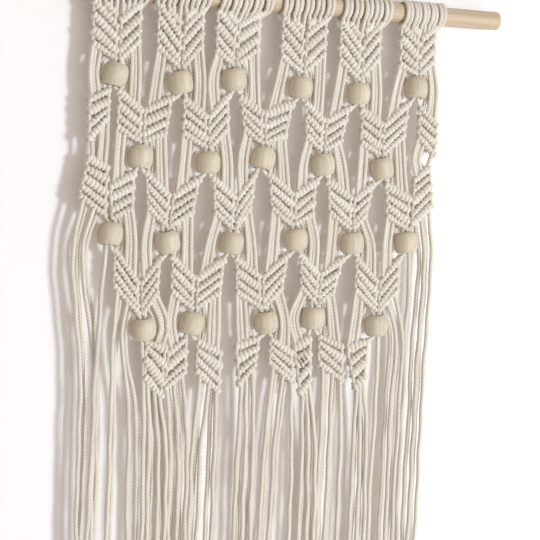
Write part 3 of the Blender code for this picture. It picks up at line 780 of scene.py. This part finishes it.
class Nodes:
    """A material's nodes, with short ways to add and join them."""

    def __init__(self, name):
        self.material = bpy.data.materials.new(name)
        self.material.use_nodes = True
        self.tree = self.material.node_tree
        self.shader = self.tree.nodes["Principled BSDF"]
        self.output = self.tree.nodes["Material Output"]

    def add(self, kind, **settings):
        """A new node with some of its settings."""
        node = self.tree.nodes.new(kind)
        for key, value in settings.items():
            setattr(node, key, value)
        return node

    def join(self, source, target):
        """A link from an output to an input."""
        self.tree.links.new(source, target)

    def set(self, **values):
        """Sets the shader's inputs, named with _ for a space."""
        for name, value in values.items():
            self.shader.inputs[name.replace("_", " ")].default_value = value

    def attribute(self, name, output="Fac"):
        """What the mesh holds under a name."""
        return self.add("ShaderNodeAttribute", attribute_name=name).outputs[output]

    def noise(self, vector, scale, size, detail=3.0, roughness=0.6):
        """Noise over a vector that is first multiplied by scale."""
        mapping = self.add("ShaderNodeMapping")
        mapping.inputs["Scale"].default_value = scale
        self.join(vector, mapping.inputs["Vector"])
        noise = self.add("ShaderNodeTexNoise")
        noise.inputs["Scale"].default_value = size
        noise.inputs["Detail"].default_value = detail
        noise.inputs["Roughness"].default_value = roughness
        self.join(mapping.outputs["Vector"], noise.inputs["Vector"])
        return noise.outputs["Fac"]

    def ramp(self, factor, *stops):
        """A colour or a grey by factor: each stop is (place, colour)."""
        node = self.add("ShaderNodeValToRGB")
        ramp = node.color_ramp
        for element, (place, colour) in zip(ramp.elements, (stops[0], stops[-1])):
            element.position = place
            element.color = (*colour, 1)
        for place, colour in stops[1:-1]:
            ramp.elements.new(place).color = (*colour, 1)
        self.join(factor, node.inputs["Fac"])
        return node.outputs["Color"]

    def tint(self, colour, factor, *stops):
        """The colour multiplied by a ramp's."""
        node = self.add("ShaderNodeMix", data_type="RGBA", blend_type="MULTIPLY")
        node.inputs["Factor"].default_value = 1.0
        first, second = node.inputs[6:8]     # its two colour sockets
        self.join(colour, first)
        self.join(self.ramp(factor, *stops), second)
        return node.outputs[2]

    def roughness(self, pores, deep, plain):
        """Roughness in the pores and between them."""
        rough = self.ramp(pores, (0.3, (deep,) * 3), (0.7, (plain,) * 3))
        self.join(rough, self.shader.inputs["Roughness"])

    def bump(self, height, distance, strength):
        """Fine relief, distance being in metres."""
        node = self.add("ShaderNodeBump")
        node.inputs["Distance"].default_value = distance
        node.inputs["Strength"].default_value = strength
        self.join(height, node.inputs["Height"])
        self.join(node.outputs["Normal"], self.shader.inputs["Normal"])


def cotton_look():
    """Unbleached three-ply cotton: soft, matt, fibrous, with painted shade darkening the grooves
    between its plies.
    """
    look = Nodes("cotton_rope")
    lay = look.attribute("lay", "Vector")
    fibres = look.noise(lay, (1.0, 1.0, 0.18), 3.2, 4.0, 0.65)
    cloudy = look.noise(lay, (0.3, 0.3, 0.06), 1.0, 2.0, 0.5)
    # painted shade: the colour darkens to a warm tan in the grooves between plies, standing in for
    # shade
    colour = look.ramp(look.attribute("groove_shade"), (0.0, (0.92, 0.895, 0.85)),
                       (0.45, (0.87, 0.83, 0.77)), (1.0, (0.61, 0.535, 0.45)))
    colour = look.tint(colour, fibres, (0.3, (0.87, 0.85, 0.82)), (0.7, WHITE))
    colour = look.tint(colour, cloudy, (0.35, (0.94, 0.92, 0.89)), (0.65, WHITE))
    colour = look.tint(colour, look.attribute("tone"), (0.0, DARKEST_TONE), (1.0, WHITE))
    look.join(colour, look.shader.inputs["Base Color"])
    look.set(Roughness=0.95, Specular_IOR_Level=0.2, Sheen_Weight=0.25, Sheen_Roughness=0.5,
             Sheen_Tint=(1.0, 0.96, 0.9, 1))
    look.bump(fibres, 0.0006, 0.8)
    return look.material


def bead_look():
    """Plain sanded beech, with faint grain along the hole."""
    look = Nodes("bead_wood")
    grain = look.attribute("grain", "Vector")
    bands = look.noise(grain, (1.0, 1.0, 0.07), 0.55, 3.0, 0.55)
    pores = look.noise(grain, (1.0, 1.0, 0.12), 3.5, 3.0, 0.7)
    colour = look.ramp(bands, (0.3, (0.55, 0.475, 0.37)), (0.5, (0.63, 0.56, 0.455)),
                       (0.72, (0.69, 0.63, 0.52)))
    colour = look.tint(colour, pores, (0.35, (0.88, 0.86, 0.82)), (0.6, WHITE))
    colour = look.tint(colour, look.attribute("tone"), (0.0, DARKEST_TONE), (1.0, WHITE))
    look.join(colour, look.shader.inputs["Base Color"])
    look.roughness(pores, 0.6, 0.5)
    look.set(Specular_IOR_Level=0.5)
    look.bump(pores, 0.0002, 0.35)
    return look.material


def rod_look():
    """Bare pine dowel, its grain along the rod."""
    look = Nodes("pale_wood")
    grain = look.attribute("grain", "Vector")
    bands = look.noise(grain, (0.02, 1.0, 1.0), 0.45, 4.0, 0.55)
    pores = look.noise(grain, (0.06, 1.0, 1.0), 3.0, 3.0, 0.7)
    colour = look.ramp(bands, (0.32, (0.50, 0.385, 0.27)), (0.5, (0.58, 0.46, 0.335)),
                       (0.7, (0.64, 0.525, 0.40)))
    colour = look.tint(colour, pores, (0.35, (0.88, 0.85, 0.8)), (0.6, WHITE))
    look.join(colour, look.shader.inputs["Base Color"])
    look.roughness(pores, 0.65, 0.5)
    look.bump(pores, 0.0002, 0.3)
    return look.material


def backdrop_look(name, colour):
    """Matt paint on the side that faces the room. The other side is clear."""
    look = Nodes(name)
    faint = look.noise(look.add("ShaderNodeTexCoord").outputs["Object"], (1.0, 1.0, 1.0), 3.0)
    paler = tuple(min(1.0, c * 1.02) for c in colour)
    look.join(look.ramp(faint, (0.3, colour), (0.7, paler)), look.shader.inputs["Base Color"])
    look.set(Roughness=0.9, Specular_IOR_Level=0.1)
    clear = look.add("ShaderNodeBsdfTransparent")
    both = look.add("ShaderNodeMixShader")
    look.join(look.add("ShaderNodeNewGeometry").outputs["Backfacing"], both.inputs[0])
    look.join(look.shader.outputs[0], both.inputs[1])
    look.join(clear.outputs[0], both.inputs[2])
    look.join(both.outputs[0], look.output.inputs["Surface"])
    return look.material


# ---------------------------------------------------------------- surroundings

def plane(name, corners, look):
    """A rectangle through four points in metres, facing by their order."""
    data = bpy.data.meshes.new(name)
    data.from_pydata(corners, [], [(0, 1, 2, 3)])
    data.materials.append(look)
    made = bpy.data.objects.new(name, data)
    bpy.context.scene.collection.objects.link(made)
    return made


def area_light(light):
    """A square soft light at its place, turned to the hanging."""
    data = bpy.data.lights.new(light.name, "AREA")
    data.size = light.size
    data.energy = light.power
    data.color = light.colour
    made = bpy.data.objects.new(light.name, data)
    made.location = light.place
    made.rotation_euler = (Vector(AIM) - Vector(light.place)).to_track_quat("-Z", "Y").to_euler()
    bpy.context.scene.collection.objects.link(made)


def make_surroundings():
    """Wall, floor, lights and world."""
    wall = plane("wall", [(-SIDE_REACH, WALL_Y, FLOOR_Z), (SIDE_REACH, WALL_Y, FLOOR_Z),
                          (SIDE_REACH, WALL_Y, WALL_TOP), (-SIDE_REACH, WALL_Y, WALL_TOP)],
                 backdrop_look("wall_paint", (0.84, 0.825, 0.84)))
    floor = plane("floor", [(-SIDE_REACH, -FLOOR_REACH, FLOOR_Z), (SIDE_REACH, -FLOOR_REACH, FLOOR_Z),
                            (SIDE_REACH, FLOOR_REACH, FLOOR_Z), (-SIDE_REACH, FLOOR_REACH, FLOOR_Z)],
                  backdrop_look("floor_paint", (0.80, 0.79, 0.77)))
    for backdrop in (wall, floor):
        backdrop.visible_shadow = False      # light from behind and below passes them
    for light in LIGHTS:
        area_light(light)
    world = bpy.data.worlds.new("studio")
    world.use_nodes = True
    background = world.node_tree.nodes["Background"]
    background.inputs["Color"].default_value = (*WORLD_COLOUR, 1)
    background.inputs["Strength"].default_value = WORLD_STRENGTH
    bpy.context.scene.world = world
    bpy.context.scene.view_settings.view_transform = "Standard"


def make_camera():
    """The photograph's camera."""
    yaw = math.radians(CAMERA_YAW)
    pitch = math.radians(CAMERA_PITCH)
    roll = math.radians(CAMERA_ROLL)
    forward = Vector((math.sin(yaw), math.cos(yaw), 0))
    ahead = math.cos(pitch) * forward - Vector((0, 0, math.sin(pitch)))
    level = Vector((math.cos(yaw), -math.sin(yaw), 0))
    upright = level.cross(ahead)
    right = math.cos(roll) * level + math.sin(roll) * upright
    up = math.cos(roll) * upright - math.sin(roll) * level
    data = bpy.data.cameras.new("camera")
    data.sensor_width = SENSOR
    data.lens = FOCAL_PIXELS / IMAGE_SIDE * SENSOR
    data.clip_start = 0.05
    made = bpy.data.objects.new("camera", data)
    turn = Matrix((right, up, -ahead)).transposed().to_4x4()
    made.matrix_world = Matrix.Translation(CAMERA_PLACE) @ turn
    bpy.context.scene.collection.objects.link(made)
    bpy.context.scene.camera = made


def main():
    """Everything in the scene."""
    beads = place_beads()
    arms = lay_out(beads)
    make_camera()
    make_surroundings()
    cotton = cotton_look()
    make_bars(arms, cotton)
    make_loops(arms, cotton)
    make_strands(arms, beads, cotton)
    make_fringe(arms, beads, cotton)
    make_beads(beads, bead_look())
    make_rod(rod_look())


main()
